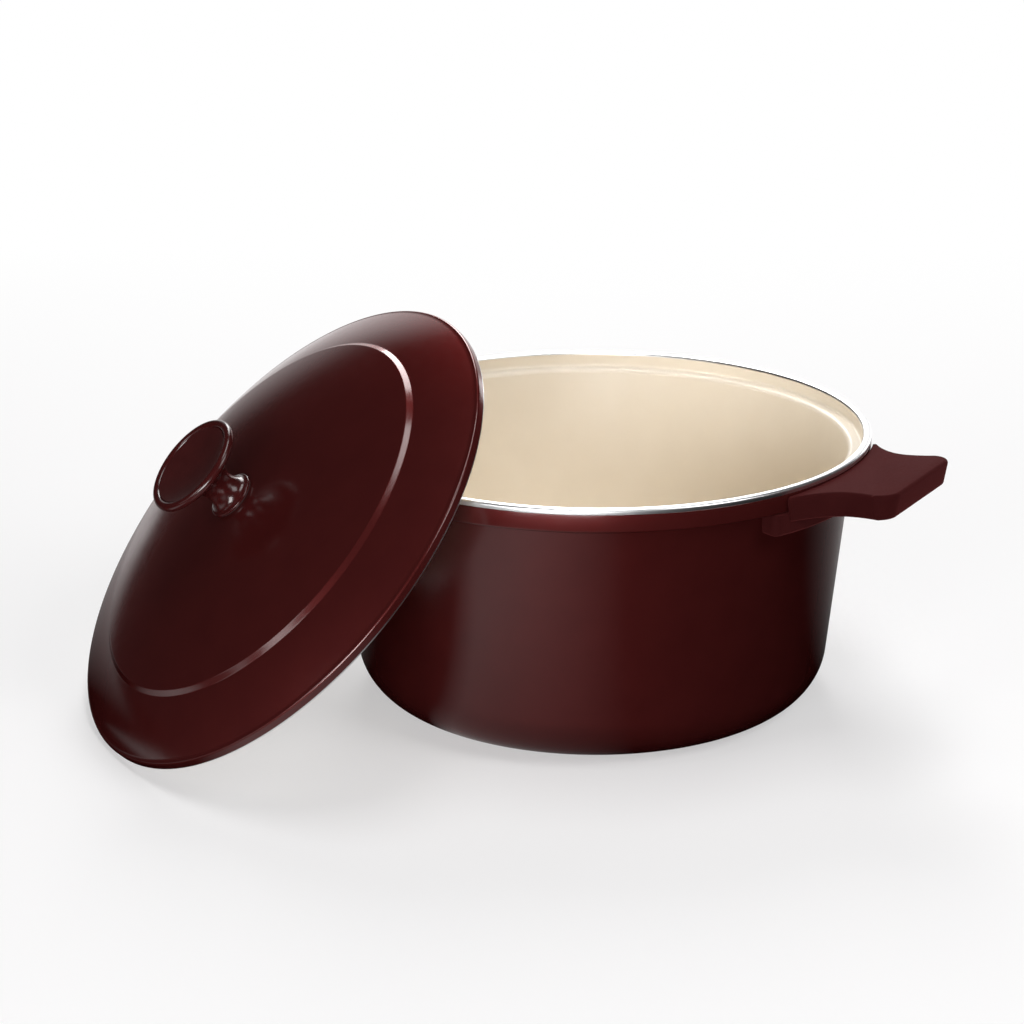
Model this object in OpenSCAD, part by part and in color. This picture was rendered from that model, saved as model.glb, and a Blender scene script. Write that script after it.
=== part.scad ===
// Dutch oven with a lift-off lid leaning on its rim and two slip-on silicone grips.
// Origin at the centre of the base on the table, +Z up, the grips along X. Millimetres.

/* [Pot] */
// Outer diameter over the rim
rim_d = 260; // [220:1:300]
// Height from the table to the top of the rim
pot_h = 130.5; // [100:0.5:160]
// Height of the band that stands proud under the rim
band_h = 11; // [10:0.5:16]
// Width of the bare rim, from the band's face to the lid's recess
rim_w = 4; // [3:0.1:6]
// Rounding of the bare rim's two edges
rim_round = 1.2; // [0.6:0.1:1.4]
// Depth of the lid's seat below the top of the rim
seat_drop = 7; // [6:0.5:7.5]
// Width of the flat seat that the lid rests on
seat_w = 4.5; // [4:0.5:9]
// Rounding where the seat turns down into the inner wall
seat_round = 2.5; // [2:0.1:5]
// Thickness of the wall, enamel and lining included
wall_t = 3.1; // [3:0.1:6]
// Lean of the wall from upright, in degrees
wall_lean = 5.9; // [0:0.1:10]
// Thickness of the floor, lining included
floor_t = 6; // [5:0.5:9]
// Rounding between the wall and the base, outside
base_round = 26; // [14:1:34]
// Rounding between the wall and the floor, inside
floor_round = 18; // [10:1:26]

/* [Coatings] */
// Thickness of the enamel outside and of the ceramic lining inside
coat_t = 0.4; // [0.2:0.05:0.6]
// Height of bare metal that the enamel leaves free at the top of the rim
bare_rim_h = 2.4; // [2:0.1:4]
// Height of bare metal that the enamel leaves free along the lid's edge
bare_edge_h = 0.8; // [0.6:0.1:1.6]

/* [Base plate] */
// Width of the flat ring of base round the steel plate
plate_margin = 7.5; // [3:0.5:30]
// Thickness of the steel plate
plate_t = 3; // [2:0.1:3.5]
// How far the plate stands below the base
plate_proud = 0.4; // [0.2:0.1:1]
// Number of ring grooves turned in the plate's face
plate_rings = 5; // [2:1:7]
// Depth of each ring groove
plate_groove = 0.5; // [0.3:0.1:0.8]

/* [Grips] */
// Length of a grip beyond the rim
grip_len = 38; // [34:1:50]
// Thickness of a grip
grip_t = 12; // [11:0.1:14]
// Width of a grip across its outer end, corners included
grip_tip_w = 71; // [60:1:80]
// Width of a grip at its waist
grip_mid_w = 67; // [60:1:86]
// Width of a grip where it meets the rim
grip_root_w = 94; // [90:1:110]
// Distance from the rim to a grip's waist
flare_x = 13; // [7:0.5:16]
// Rounding of a grip's outer corners
grip_corner = 9; // [6:0.5:16]
// Rounding of a grip's long edges
grip_edge = 2.2; // [1:0.1:3]
// Rise of a grip towards its outer end, in degrees
grip_rise = 5; // [0:0.1:6]
// Drop from the top of the rim to a grip's top face, at the rim
grip_drop = 2.9; // [2.5:0.1:4]
// Drop from the top of the rim to the bottom of the tab that hugs the wall
tab_drop = 21; // [17:0.5:30]
// How far the tab stands out beyond the band
tab_proud = 1.2; // [0.8:0.1:2]
// Half of the angle that the tab covers round the wall, in degrees
tab_half = 22; // [21:0.5:27]
// Thickness of the cast lug inside a grip, enamel included
lug_t = 5; // [4:0.1:5.5]
// Length of the lug beyond the rim
lug_len = 30; // [22:1:31]
// Width of the lug across its outer end
lug_tip_w = 46; // [36:1:50]
// Width of the lug where it meets the rim
lug_root_w = 60; // [50:1:64]
// Rounding of the lug's outer corners
lug_corner = 6; // [3:0.5:9]
// Clearance between a grip and the metal all round
grip_clear = 0.3; // [0.2:0.05:0.5]

/* [Lid] */
// Clearance between the lid's edge and the recess it drops into
lid_clear = 1.8; // [1.5:0.1:3]
// Thickness of the lid, enamel and lining included
lid_t = 4.2; // [3.4:0.1:4.9]
// Height of the lid's upright edge
edge_h = 4.6; // [3.4:0.1:5.5]
// Rounding at the top of the lid's edge
edge_round = 1.2; // [0.8:0.1:1.6]
// Width of the flat foot ring under the lid's edge
foot_w = 4.4; // [3.5:0.1:5]
// Diameter of the step where the brim meets the dome
step_d = 193; // [160:1:205]
// Height of the brim at the step, over the edge plane
brim_h = 16.6; // [12:0.1:20]
// Bow of the brim above a straight slope
brim_bow = 0.7; // [0:0.1:1.5]
// Height of the step
step_h = 2.1; // [1:0.1:4]
// Width of the step's slope
step_w = 2.3; // [1.5:0.1:4]
// Height of the crown over the edge plane
crown_h = 32.4; // [25:0.1:42]
// Flatness of the dome: 2 is a parabola, larger is flatter with rounder shoulders
dome_power = 2.5; // [2:0.1:4]

/* [Knob] */
// Diameter of the knob's disc
knob_d = 49; // [42:0.5:60]
// Height of the knob above the crown
knob_h = 27.4; // [24:0.1:34]
// Diameter of the knob's neck
neck_d = 15; // [14:0.5:20]
// Height of the neck's narrowest place above the gasket
neck_h = 8.2; // [6:0.1:10]
// Diameter of the flared foot
foot_d = 23; // [22:0.5:30]
// Radius of the rolled bead round the disc
bead_r = 2.1; // [1.6:0.1:2.6]
// Depth of the dish in the top plate, below the bead
dish_depth = 2.6; // [1:0.1:3.5]
// Thickness of the dished top plate
dish_t = 1.2; // [0.8:0.1:1.6]
// Thickness of the gasket under the foot
seal_t = 0.8; // [0.5:0.1:1.5]
// Thread diameter of the knob's screw
screw_d = 5; // [4:0.5:6]
// How far the screw reaches into the threaded insert
screw_bite = 11.5; // [8:0.5:13]
// Diameter of the screw's head and of the split washer
head_d = 9.5; // [8.5:0.1:11]
// Height of the screw's head
head_h = 3; // [2:0.1:4]
// Diameter of the flat washer
washer_d = 11; // [9:0.5:14]
// Thickness of the flat washer
washer_t = 1; // [0.6:0.1:1.6]
// Thickness of the split washer
spring_t = 1.2; // [0.8:0.1:2]
// Outer diameter of the threaded insert
insert_d = 8.5; // [7.5:0.1:9.5]
// Clearance of the screw in the holes that it passes through
screw_clear = 0.4; // [0.2:0.05:0.8]
// Clearance of a thread or moulded fit
thread_clear = 0.05; // [0.02:0.01:0.1]

/* [Lean] */
// Length of lid that reaches past the height of the rim, along the lid's slope
lean_overhang = 69.4; // [40:0.1:90]
// Direction that the leaning lid's top faces, in degrees from the right-hand grip
lean_azimuth = 235.7; // [225:0.1:250]
// Sideways offset of the leaning lid's centre from that direction
lean_side = -21.2; // [-40:0.1:-5]
// Least gap between the underside of the leaning lid and what it leans on
lean_gap = 0.7; // [0.3:0.05:1]

/* [Hidden] */
$fn = 96;
// Points on a quarter-turn arc, on the dome and round the rim in the lean test
arc_steps = 8;
dome_steps = 14;
rim_steps = 240;
// Overshoot of a cutting solid past the face that it opens
over = 2;

burgundy = [0.25, 0.07, 0.07];
silicone = [0.30, 0.09, 0.09];
cream = [0.92, 0.85, 0.74];
aluminium = [0.80, 0.80, 0.81];
steel = [0.66, 0.67, 0.68];
brass = [0.78, 0.62, 0.30];

// Points of an arc round c from angle a to angle b
function arc(c, r, a, b) =
    [for (i = [0:arc_steps]) let (t = a + (b - a)*i/arc_steps) [c[0] + r*cos(t), c[1] + r*sin(t)]];
function reversed(list) = [for (i = [len(list) - 1:-1:0]) list[i]];
function mix(a, b, t) = a + (b - a)*t;

// Pot section
rim_r = rim_d/2;
recess_r = rim_r - rim_w;
seat_z = pot_h - seat_drop;
seat_in_r = recess_r - seat_w;
band_z = pot_h - band_h;
base_z = plate_proud;
floor_z = base_z + floor_t;
coat_top_z = pot_h - bare_rim_h;
lining_top_z = pot_h - rim_round;
wall_slope = tan(wall_lean);
// Height at which the seat's rounding meets the inner wall, and that wall carried down to z = 0
wall_top_z = seat_z - seat_round*(1 - sin(wall_lean));
inner_foot_r = seat_in_r - seat_round*cos(wall_lean) - wall_top_z*wall_slope;
function inner_r(z) = inner_foot_r + z*wall_slope;
function outer_r(z) = inner_r(z) + wall_t/cos(wall_lean);
base_arc = [outer_r(base_z + base_round) - base_round/cos(wall_lean), base_z + base_round];
plate_r = base_arc[0] - plate_margin;
floor_arc = [inner_r(floor_z + floor_round) - floor_round/cos(wall_lean), floor_z + floor_round];
band_round = rim_round;

// Outside of the pot from the base to the top of the enamel, moved inwards by d
function outside(d) = concat(
    arc(base_arc, base_round - d, -90, -wall_lean),
    [[outer_r(band_z + d) - d/cos(wall_lean), band_z + d]],
    arc([rim_r - band_round, band_z + band_round], band_round - d, -90, 0),
    [[rim_r - d, coat_top_z]]);

// Inside of the pot from the top of the lining to the floor's edge, moved into the metal by d
function inside(d) = concat(
    [[recess_r + d, lining_top_z], [recess_r + d, seat_z - d]],
    arc([seat_in_r, seat_z - seat_round], seat_round - d, 90, 180 - wall_lean),
    arc(floor_arc, floor_round + d, -wall_lean, -90));

module turned(points) rotate_extrude($fn = 180) polygon(points);

// The pot's metal without its lugs
module pot_metal() turned(concat(
    [[0, plate_t], [plate_r, plate_t], [plate_r, base_z], [base_arc[0], base_z]],
    outside(coat_t),
    [[rim_r, coat_top_z]],
    arc([rim_r - rim_round, pot_h - rim_round], rim_round, 0, 90),
    arc([recess_r + rim_round, pot_h - rim_round], rim_round, 90, 180),
    inside(coat_t),
    [[0, floor_z - coat_t]]));

// Grips and lugs. A grip's own frame has its origin at the rim, x outwards.
grip_top_z = pot_h - grip_drop;
grip_mid_z = grip_top_z - grip_t/2;
lug_z = grip_mid_z + lug_len/2*tan(grip_rise);
// Depth to which a lug is rooted in the band
lug_root = rim_w/2;
// Reach of the plans of lug and grip inside the rim, before they are cut there
plan_reach = rim_r/4;
tab_z = pot_h - tab_drop;
tab_top_z = band_z - grip_clear;
tab_out_r = rim_r + tab_proud;

// Half of a tapered tongue with round outer corners, from the pot's axis side to the middle of the end
function tongue(x_in, w_in, x_out, w_out, corner) = concat(
    [[x_in, w_in/2]],
    arc([x_out - corner, w_out/2 - corner], corner, 90, 0));
function both_sides(half) = concat(half, reversed([for (p = half) [p[0], -p[1]]]));

// A cast lug with its faces moved outwards by g
module lug(g) {
    half = concat([[-plan_reach, lug_root_w/2 + g]],
        tongue(0, lug_root_w + 2*g, lug_len + g, lug_tip_w + 2*g, lug_corner + g));
    difference() {
        translate([rim_r, 0, lug_z - lug_t/2 - g])
            linear_extrude(lug_t + 2*g) polygon(both_sides(half));
        cylinder(r = rim_r - lug_root, h = pot_h + over, $fn = 180);
    }
}

module lug_pair(g) {
    lug(g);
    rotate(180) lug(g);
}

module pot_casting() color(aluminium) union() {
    pot_metal();
    lug_pair(-coat_t);
}

module pot_enamel() color(burgundy) difference() {
    union() {
        turned(concat([[0, base_z]], outside(0), [[0, coat_top_z]]));
        lug_pair(0);
    }
    turned(concat([[0, base_z - over], [base_arc[0], base_z - over]], outside(coat_t),
        [[rim_r - coat_t, pot_h + over], [0, pot_h + over]]));
    lug_pair(-coat_t);
}

module pot_lining() color(cream) turned(concat(
    inside(0), [[0, floor_z], [0, floor_z - coat_t]], reversed(inside(coat_t))));

module induction_plate() color(steel) difference() {
    cylinder(r = plate_r, h = plate_t);
    for (i = [1:plate_rings]) {
        ring_r = plate_r*i/(plate_rings + 1);
        translate([0, 0, -over]) difference() {
            cylinder(r = ring_r + plate_groove, h = over + plate_groove);
            cylinder(r = ring_r - plate_groove, h = over + plate_groove);
        }
    }
}

// Plan of a grip, in the grip's own frame
root_x = sqrt(rim_r*rim_r - grip_root_w*grip_root_w/4) - rim_r;
function grip_plan() = both_sides(concat(
    [[-plan_reach, grip_root_w/2], [root_x, grip_root_w/2]],
    tongue(flare_x, grip_mid_w, grip_len, grip_tip_w, grip_corner)));

// Side view of a grip: a rising bar whose outer end has round edges
function grip_side() = concat(
    [[-plan_reach, -grip_t/2], [-plan_reach, grip_t/2]],
    arc([grip_len - grip_edge, grip_t/2 - grip_edge], grip_edge, 90, 0),
    arc([grip_len - grip_edge, -grip_t/2 + grip_edge], grip_edge, 0, -90));

module grip_bar() translate([rim_r, 0, grip_mid_z]) intersection() {
    translate([0, 0, -grip_t]) linear_extrude(3*grip_t) polygon(grip_plan());
    rotate([0, -grip_rise, 0]) translate([0, grip_root_w, 0]) rotate([90, 0, 0])
        linear_extrude(2*grip_root_w) polygon(grip_side());
}

// Tab under the band that hugs the wall
module grip_tab() intersection() {
    turned([[outer_r(tab_z) - over, tab_z], [tab_out_r, tab_z], [tab_out_r, tab_top_z],
        [outer_r(tab_z) - over, tab_top_z]]);
    linear_extrude(pot_h) polygon([[0, 0],
        2*rim_r*[cos(tab_half), -sin(tab_half)], 2*rim_r*[1, 0], 2*rim_r*[cos(tab_half), sin(tab_half)]]);
}

module grip() color(silicone) difference() {
    union() {
        difference() {
            grip_bar();
            translate([0, 0, tab_top_z]) cylinder(r = rim_r + grip_clear, h = band_h + over, $fn = 180);
        }
        grip_tab();
    }
    lug(grip_clear);
    turned([[0, 0], [outer_r(0) + grip_clear, 0], [outer_r(band_z) + grip_clear, band_z],
        [0, band_z]]);
}

module grip_right() grip();
module grip_left() rotate(180) grip();

// Lid section, in the lid's own frame: the edge plane at z = 0, its axis upwards
lid_r = recess_r - lid_clear;
dome_r = step_d/2 - step_w;
dome_h = brim_h + step_h;
foot_in_r = lid_r - foot_w;
hole_r = screw_d/2 + screw_clear;
function dome_z(r) = dome_h + (crown_h - dome_h)*(1 - pow(r/dome_r, dome_power));
// Radii bunched towards the dome's round shoulder
function dome_at(i) = mix(hole_r, dome_r, sin(90*i/dome_steps));
function dome(d) = [for (i = [0:dome_steps]) [dome_at(i), dome_z(dome_at(i)) - d]];
function step(d) = [for (i = [1:arc_steps]) let (t = i/arc_steps)
    [dome_r + step_w*t, brim_h + step_h*(1 + cos(180*t))/2 - d]];
function brim_z(t) = mix(brim_h, edge_h, t) + 4*brim_bow*t*(1 - t);
function brim(d, r_out) = [for (i = [1:arc_steps]) let (r = mix(step_d/2, r_out, i/arc_steps))
    [r, brim_z((r - step_d/2)/(lid_r - edge_round - step_d/2)) - d]];

// Top of the lid from the screw hole to its edge, moved down by d
function lid_top(d) = concat(
    dome(d), step(d), brim(d, lid_r - edge_round),
    arc([lid_r - edge_round, edge_h - edge_round], edge_round - d, 90, 0),
    [[lid_r - d, bare_edge_h]]);

// Underside of the lid from the screw hole to near the foot ring, moved up by d
foot_flank = 1;
under_out_r = foot_in_r - foot_flank;
function lid_under(d) = concat(dome(lid_t - d), step(lid_t - d), brim(lid_t - d, under_out_r));

// Where the lid leans: the lowest point of its edge on the table, the least gap to the rim as given
edge_chamfer = 0.5;
foot_ring = [[foot_in_r, 0], [lid_r - edge_chamfer, 0], [lid_r, edge_chamfer]];
lean_tilt = asin(pot_h/(2*lid_r - lean_overhang));
lean_up = [sin(lean_tilt)*cos(lean_azimuth), sin(lean_tilt)*sin(lean_azimuth), cos(lean_tilt)];
lean_z = -min([for (p = foot_ring) p[1]*cos(lean_tilt) - p[0]*sin(lean_tilt)]);
function lean_at(dist) = [
    dist*cos(lean_azimuth) - lean_side*sin(lean_azimuth),
    dist*sin(lean_azimuth) + lean_side*cos(lean_azimuth),
    lean_z];
underside = concat([[0, crown_h - lid_t]], lid_under(0), [[foot_in_r, 0], [lid_r, 0]]);
rim_edge = arc([rim_r - rim_round, pot_h - rim_round], rim_round, 0, 90);
rim_points = [for (i = [0:rim_steps - 1]) for (p = rim_edge) let (a = 360*i/rim_steps)
    [p[0]*cos(a), p[0]*sin(a), p[1]]];
// Top outline of the left-hand grip, which the lid leans on, lowered by its round outer end
function end_drop(x) = let (d = max(0, x - grip_len + grip_edge))
    grip_edge - sqrt(grip_edge*grip_edge - d*d);
grip_points = [for (p = grip_plan()) if (p[0] > 0)
    [-rim_r - p[0], -p[1], grip_mid_z + p[0]*tan(grip_rise) + grip_t/2/cos(grip_rise) - end_drop(p[0])]];
pot_points = concat(rim_points, grip_points);
clear_of_all = 2*rim_r;
function lid_gap(dist) = min(concat([clear_of_all], [
    for (p = pot_points)
        let (v = p - lean_at(dist), h = v*lean_up, r = norm(v - h*lean_up))
        if (r < lid_r) lookup(r, underside) - h]));
// Halves the span between a distance that is too near and one that is clear
halvings = 20;
function lean_distance(near, far, left) = left == 0 ? far : let (mid = (near + far)/2)
    lid_gap(mid) < lean_gap ? lean_distance(mid, far, left - 1) : lean_distance(near, mid, left - 1);
lean_pos = lean_at(lean_distance(rim_r/4, rim_r + 2*lid_r, halvings));

module leaning() translate(lean_pos) rotate([0, lean_tilt, lean_azimuth]) children();

module lid_casting() color(aluminium) leaning() turned(concat(
    lid_top(coat_t), [[lid_r, bare_edge_h]], reversed(foot_ring), reversed(lid_under(coat_t))));

module lid_enamel() color(burgundy) leaning() turned(concat(lid_top(0), reversed(lid_top(coat_t))));

module lid_lining() color(cream) leaning() turned(concat(lid_under(coat_t), reversed(lid_under(0))));

// Knob, in the lid's own frame
// The flat washer lies just under the domed underside
under_z = lookup(washer_d/2, underside) - thread_clear;
seal_z = crown_h + seal_t;
knob_top_z = crown_h + knob_h;
bead_z = knob_top_z - bead_r;
bead_ring_r = knob_d/2 - bead_r;
dish_r = bead_ring_r - bead_r - thread_clear;
dish_edge_z = knob_top_z - bead_r/2 - dish_t;
dish_low_z = dish_edge_z - dish_depth;
head_z = under_z - washer_t - spring_t;
insert_r = insert_d/2;
// Web of the knob below the insert, and the insert's spare length past the screw
insert_web = 1;
insert_spare = 1.5;
insert_z = seal_z + insert_web;
insert_len = screw_bite + insert_spare;
screw_len = insert_z + screw_bite - head_z;
// Cross recess in the screw's head, its draft and the split in the spring washer
cross_len = 0.55*head_d;
cross_w = 1.2;
head_draft = 0.6;
split_w = 0.8;
split_turn = 30;
neck_z = seal_z + neck_h;
// Lip of the disc below the bead, and the angle at which the bead leaves it
lip_h = 1;
bead_start = -60;
flare_z = bead_z - bead_r - lip_h;

// The foot has an upright edge below its concave flare
foot_edge = 1;
function foot_curve() = concat([[foot_d/2, seal_z]], [for (i = [0:arc_steps]) let (t = i/arc_steps)
    [mix(foot_d/2, neck_d/2, sin(90*t)), mix(seal_z + foot_edge, neck_z, 1 - cos(90*t))]]);
function flare_curve() = [for (i = [1:arc_steps]) let (t = i/arc_steps)
    [mix(neck_d/2, bead_ring_r - bead_r/2, 1 - cos(90*t)), mix(neck_z, flare_z, sin(90*t))]];
// Underside of the dished plate out to radius r, moved up by d
function dish_curve(r, d) = [for (i = [0:arc_steps]) let (t = i/arc_steps)
    [r*t, mix(dish_low_z, dish_edge_z, t*t) + d]];

module knob_body() color(burgundy) leaning() difference() {
    turned(concat(
        [[hole_r, seal_z]], foot_curve(), flare_curve(),
        arc([bead_ring_r, bead_z], bead_r, bead_start, 180),
        reversed(dish_curve(bead_ring_r - bead_r, 0)),
        [[0, insert_z], [hole_r, insert_z]]));
    translate([0, 0, insert_z - thread_clear])
        cylinder(r = insert_r + thread_clear, h = insert_len + 2*thread_clear);
}

module knob_plate() color(burgundy) leaning()
    turned(concat(dish_curve(dish_r, dish_t), reversed(dish_curve(dish_r, thread_clear))));

module knob_seal() color(silicone) leaning() translate([0, 0, crown_h]) difference() {
    cylinder(d = foot_d, h = seal_t);
    translate([0, 0, -over]) cylinder(r = hole_r, h = seal_t + 2*over);
}

module knob_insert() color(brass) leaning() translate([0, 0, insert_z]) difference() {
    cylinder(r = insert_r, h = insert_len);
    translate([0, 0, -over]) cylinder(r = screw_d/2 + thread_clear, h = insert_len + 2*over);
}

module knob_screw() color(steel) leaning() difference() {
    union() {
        translate([0, 0, head_z]) cylinder(d = screw_d, h = screw_len);
        translate([0, 0, head_z - head_h]) cylinder(d1 = head_d - 2*head_draft, d2 = head_d, h = head_h);
    }
    for (a = [0, 90]) rotate(a) translate([0, 0, head_z - head_h])
        cube([cross_len, cross_w, head_h], center = true);
}

module screw_washer() color(steel) leaning() translate([0, 0, under_z - washer_t]) difference() {
    cylinder(d = washer_d, h = washer_t);
    translate([0, 0, -over]) cylinder(r = hole_r, h = washer_t + 2*over);
}

module spring_washer() color(steel) leaning() translate([0, 0, head_z]) difference() {
    cylinder(d = head_d, h = spring_t);
    translate([0, 0, -over]) cylinder(r = hole_r, h = spring_t + 2*over);
    rotate(split_turn) translate([0, -split_w/2, -over]) cube([head_d, split_w, spring_t + 2*over]);
}

pot_casting();
pot_enamel();
pot_lining();
induction_plate();
grip_right();
grip_left();
lid_casting();
lid_enamel();
lid_lining();
knob_body();
knob_plate();
knob_seal();
knob_insert();
knob_screw();
screw_washer();
spring_washer();
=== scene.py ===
"""Looks of an enamelled dutch oven whose lid leans on one grip. Metres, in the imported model's frame."""

import math

import bmesh
import bpy
from mathutils import Matrix, Vector


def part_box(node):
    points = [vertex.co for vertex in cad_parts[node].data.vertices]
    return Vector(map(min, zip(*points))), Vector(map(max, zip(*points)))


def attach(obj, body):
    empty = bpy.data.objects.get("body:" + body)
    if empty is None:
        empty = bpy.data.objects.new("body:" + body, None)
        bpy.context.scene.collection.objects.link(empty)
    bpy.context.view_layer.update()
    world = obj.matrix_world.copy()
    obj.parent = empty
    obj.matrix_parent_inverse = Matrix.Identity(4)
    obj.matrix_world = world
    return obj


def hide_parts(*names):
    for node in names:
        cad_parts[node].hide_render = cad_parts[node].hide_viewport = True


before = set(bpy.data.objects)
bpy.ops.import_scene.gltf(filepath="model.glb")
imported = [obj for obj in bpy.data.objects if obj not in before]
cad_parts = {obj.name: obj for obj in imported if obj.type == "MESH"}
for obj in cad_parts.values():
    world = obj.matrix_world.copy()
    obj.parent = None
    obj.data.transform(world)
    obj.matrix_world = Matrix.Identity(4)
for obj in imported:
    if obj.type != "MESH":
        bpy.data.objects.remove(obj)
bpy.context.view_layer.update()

MM = 0.001

# Pot section, millimetres
POT_H = round(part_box("pot_casting")[1].z / MM, 2)
RIM_R = 130.0
RIM_W = 4.0
RIM_ROUND = 1.2
RECESS_R = RIM_R - RIM_W
BAND_H = 11.0
BAND_Z = POT_H - BAND_H
BAND_FILLET = 1.2
SEAT_DEPTH = 7.0
SEAT_Z = POT_H - SEAT_DEPTH
SEAT_W = 4.5
SEAT_ROUND = 2.5
SEAT_FILLET = 1.2
WALL_T = 3.1
WALL_LEAN = math.radians(5.9)
BASE_Z = 0.4
BASE_ROUND = 26.0
FLOOR_T = 6.0
FLOOR_Z = BASE_Z + FLOOR_T
FLOOR_ROUND = 18.0
COAT_T = 0.4
COAT_TOP_Z = round(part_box("pot_enamel")[1].z / MM, 2)
COAT_EDGE = 0.35
PLATE_T = 3.0
PLATE_R = round(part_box("induction_plate")[1].y / MM, 1)
PLATE_EDGE = 0.3
PLATE_RINGS = 5
PLATE_GROOVE = 0.5

# Grips and lugs, millimetres. A name that ends in X is measured outwards from the rim.
# The grips are 1 mm shorter than their solids, so the left one stays clear of the lid at its limit.
GRIP_LEN = 37.0
GRIP_T = 12.0
GRIP_DROP = 2.9
GRIP_RISE = math.tan(math.radians(5.0))
GRIP_WAIST_X = 16.0
GRIP_WAIST = 33.3
GRIP_ROOT_X = -5.8
GRIP_ROOT = 47.4
GRIP_END_ANGLE = math.radians(21.4)
GRIP_BORE_R = 140.0
GRIP_SHOULDER_X = 26.8
GRIP_SHOULDER = 34.7
GRIP_CORNER = 9.0
GRIP_TOP_EDGE = 1.7
GRIP_LOW_EDGE = 2.0
GRIP_DRAFT = 1.4
GRIP_CLEAR = 0.3
GRIP_MID_Z = POT_H - GRIP_DROP - GRIP_T / 2
ROOT_OVERLAP = RIM_R / 8
TAB_Z = round(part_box("grip_right")[0].z / MM, 2)
TAB_TOP_Z = BAND_Z - GRIP_CLEAR
TAB_OUT = 1.2
TAB_OUT_R = RIM_R + TAB_OUT
TAB_HALF_ANGLE = math.radians(24.0)
TAB_CORNER = 3.6
TAB_EDGE = 1.3
LUG_T = 5.0
LUG_LEN = 30.0
LUG_TIP_W = 46.0
LUG_ROOT_W = 60.0
LUG_CORNER = 6.0
LUG_EDGE = 0.9
LUG_Z = GRIP_MID_Z + LUG_LEN / 2 * GRIP_RISE
CUTTER_H = 4 * POT_H

# Lid section, millimetres, in the lid's own frame: the edge plane at z = 0
LID_GAP = 1.8
LID_R = RECESS_R - LID_GAP
LID_T = 4.2
EDGE_H = 4.6
EDGE_ROUND = 1.2
EDGE_START_DEG = 75
BARE_EDGE_H = 0.8
EDGE_CHAMFER = 0.5
LID_FOOT_W = 4.4
LID_FOOT_R = LID_R - LID_FOOT_W
LID_FOOT_FLANK = 1.0
STEP_R = 193.0 / 2
STEP_W = 2.3
STEP_H = 2.1
STEP_BEND = 0.3
STEP_MARGIN = 1.0
STEP_FACE_SHARES = (0.2, 0.8)
BRIM_H = 16.6
BRIM_BOW = 0.7
CROWN_H = 32.4
DOME_R = STEP_R - STEP_W
DOME_H = BRIM_H + STEP_H
TOP_POWER = 2.0
UNDER_POWER = 2.5

# Knob, millimetres, in the lid's own frame
KNOB_R = 49.0 / 2
KNOB_H = 27.4
KNOB_TOP_Z = CROWN_H + KNOB_H
KNOB_FOOT_R = 23.0 / 2
KNOB_FOOT_EDGE = 1.0
KNOB_FOOT_BEND = 0.45
SEAL_T = 0.8
SEAL_Z = CROWN_H + SEAL_T
SEAL_INSET = 0.5
NECK_R = 15.0 / 2
NECK_H = 8.2
NECK_Z = SEAL_Z + NECK_H
BEAD_R = 2.1
BEAD_START_DEG = -60
BEAD_Z = KNOB_TOP_Z - BEAD_R
BEAD_RING_R = KNOB_R - BEAD_R
LIP_H = 1.0
FLARE_R = BEAD_RING_R - BEAD_R / 2
FLARE_Z = BEAD_Z - BEAD_R - LIP_H
DISH_T = 1.2
DISH_DEPTH = 2.6
DISH_GAP = 0.05
DISH_SEAT_R = BEAD_RING_R - BEAD_R
DISH_R = DISH_SEAT_R - DISH_GAP
DISH_EDGE_Z = KNOB_TOP_Z - BEAD_R / 2 - DISH_T
DISH_LOW_Z = DISH_EDGE_Z - DISH_DEPTH
SCREW_R = 5.0 / 2
HOLE_CLEAR = 0.4
HOLE_R = SCREW_R + HOLE_CLEAR
INSERT_INSET = 1.0
INSERT_Z = SEAL_Z + INSERT_INSET

# Mesh fineness
SPIN_STEPS = 288
SMALL_SPIN = 160
ARC_STEPS = 10
FINE_ARC_STEPS = 24
SMALL_ARC_STEPS = 4
BEND_STEPS = 5
EDGE_STEPS = 6
SEAT_STEPS = 14
DOME_STEPS = 60
BRIM_STEPS = 20
LUG_CORNER_STEPS = 12
GRIP_SIDE_STEPS = 36
GRIP_CORNER_STEPS = 16
TAB_STEPS = 40
TAB_CORNER_STEPS = 8
KNOB_STEPS = 18
BEAD_STEPS = 28
DISH_STEPS = 24
ON_AXIS = 1e-6
MITRE_LIMIT = 0.2
SHARP = math.radians(38)

# Colours as linear values
BURGUNDY = (0.070, 0.0098, 0.0093)
BURGUNDY_DEEP = (0.063, 0.0086, 0.0083)
KNOB_BURGUNDY = (0.036, 0.0050, 0.0048)
KNOB_BURGUNDY_DEEP = (0.030, 0.0040, 0.0039)
SILICONE = (0.025, 0.0043, 0.0043)
SILICONE_DEEP = (0.021, 0.0036, 0.0037)
CREAM = (0.87, 0.78, 0.645)
CREAM_DEEP = (0.84, 0.75, 0.615)
ALUMINIUM = (0.90, 0.90, 0.91)
STEEL = (0.58, 0.58, 0.59)
BRASS = (0.72, 0.50, 0.19)
GASKET = (0.022, 0.006, 0.006)
WHITE = (1, 1, 1)
FLOOR_NEAR = (0.95, 0.942, 0.945)
FLOOR_PALE = (0.96, 0.952, 0.955)
FLOOR_BOUNCE = (0.45, 0.45, 0.45)

# Metal lines: share of the colour in their depth, and of the roughness at both ends
LINE_SHADE = 0.9
LINE_ROUGH = 1.2
LINE_SMOOTH = 0.85

# Camera, with its place in metres, and the place that most lamps face
VIEW_AZIMUTH = math.radians(30)
VIEW_PITCH = math.radians(18.36)
CAMERA_PLACE = (0.6426, -1.1896, 0.5350)
CAMERA_LENS = 105.47
SENSOR_W = 36
STAGE_TARGET = Vector((0, 0, 0.07))

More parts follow.
